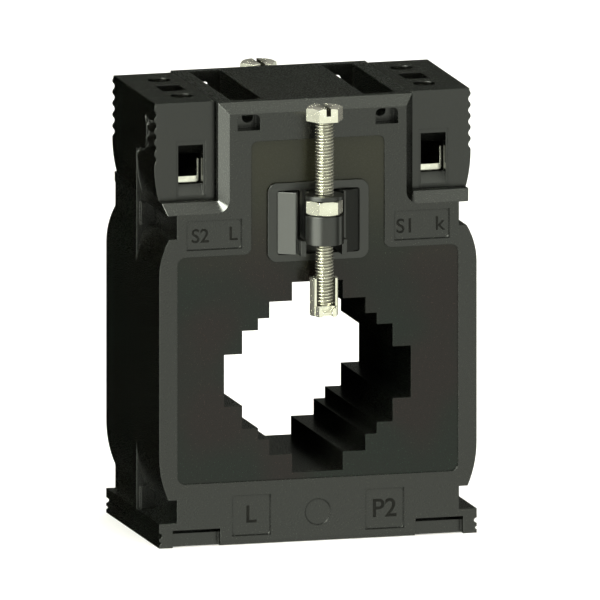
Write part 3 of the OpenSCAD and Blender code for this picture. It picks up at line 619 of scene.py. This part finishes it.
floor_finish, shader = new_material("pale_floor")
coat(shader, {
    "Base Color": shader.tint(shader.grain(6), (0.86, 0.86, 0.85), (0.90, 0.90, 0.89)),
    "Roughness": 0.8 + shader.grain(40) * 0.1,
    "Specular IOR Level": 0.1,
})
ground = bmesh.new()
bmesh.ops.create_grid(ground, x_segments=8, y_segments=8, size=4.0)
mesh = bpy.data.meshes.new("floor")
ground.to_mesh(mesh)
ground.free()
mesh.materials.append(floor_finish)
floor = bpy.data.objects.new("floor", mesh)
bpy.context.scene.collection.objects.link(floor)
floor.visible_glossy = False

world = bpy.data.worlds.new("studio")
world.use_nodes = True
bpy.context.scene.world = world
world.cycles.sampling_method = "NONE"
shader = Shader(world.node_tree)
ray = shader.node("ShaderNodeLightPath", output="Is Camera Ray")
toward = shader.node("ShaderNodeTexCoord", output="Generated")


def softbox(direction, inner, outer, strength):
    """Light that comes from within outer degrees of a direction, full within inner degrees."""
    along = shader.node("ShaderNodeVectorMath", {"operation": "DOT_PRODUCT"},
                        {0: toward, 1: Vector(direction).normalized()}, output="Value")
    return along.rise(math.cos(math.radians(outer)), math.cos(math.radians(inner))) * strength


BOXES = [((-0.65, -0.30, 0.70), 12, 26, 42.0), ((-0.88, -0.42, -0.18), 20, 36, 5.4),
         ((0.26, -0.94, -0.19), 24, 58, 1.62), ((0.26, -0.19, 0.95), 14, 44, 2.2),
         ((0.26, 0.0, -0.96), 20, 50, 0.8), ((-0.95, 0.25, -0.19), 5, 14, 0.9),
         ((0.58, 0.79, -0.19), 12, 26, 0.75), ((0.26, 0.93, 0.26), 8, 26, 0.075),
         ((0.98, 0.06, -0.20), 5, 16, 1.6)]
glow = sum((softbox(*box) for box in BOXES[1:]), softbox(*BOXES[0]))
sky = ray.also("Is Glossy Ray") * glow + ray.also("Is Diffuse Ray") * 0.30 + ray
tone = shader.tint(ray, (0.95, 1.0, 0.86), (1.0, 1.0, 1.0))
background = shader.node("ShaderNodeBackground", {}, {"Color": tone, "Strength": sky})
shader.node("ShaderNodeOutputWorld", {}, {"Surface": background})

for name, direction, distance, size, power in [
        ("key", (-0.62, -0.55, 0.56), 1.4, 0.8, 5.0), ("overhead", (0.1, -0.1, 1.0), 1.6, 1.6, 55.0),
        ("front", (0.26, -0.94, 0.3), 1.6, 1.0, 10.0)]:
    lamp = bpy.data.lights.new(name, "AREA")
    lamp.size, lamp.energy = size, power
    lamp.color = (1.0, 0.98, 0.94)
    light = bpy.data.objects.new(name, lamp)
    light.visible_glossy = False
    direction = Vector(direction).normalized()
    light.location = Vector((0, 0, 0.05)) + direction * distance
    light.rotation_euler = (-direction).to_track_quat("-Z", "Y").to_euler()
    bpy.context.scene.collection.objects.link(light)

AZIMUTH, ELEVATION = math.radians(-15.28), math.radians(10.8)
back = Vector((math.sin(AZIMUTH) * math.cos(ELEVATION), -math.cos(AZIMUTH) * math.cos(ELEVATION),
               math.sin(ELEVATION)))
right = Vector((math.cos(AZIMUTH), math.sin(AZIMUTH), 0))
up = back.cross(right)
aim = Vector((0, 1.0 * MM, 47.5 * MM)) + right * 2.083 * MM + up * 0.521 * MM
eye = bpy.data.cameras.new("camera")
eye.type = "ORTHO"
eye.ortho_scale = 127.69 * MM
eye.clip_start, eye.clip_end = 0.01, 20.0
camera = bpy.data.objects.new("camera", eye)
camera.location = aim + back * 0.8
camera.rotation_euler = (-back).to_track_quat("-Z", "Y").to_euler()
bpy.context.scene.collection.objects.link(camera)
bpy.context.scene.camera = camera
bpy.context.scene.view_settings.view_transform = "Standard"
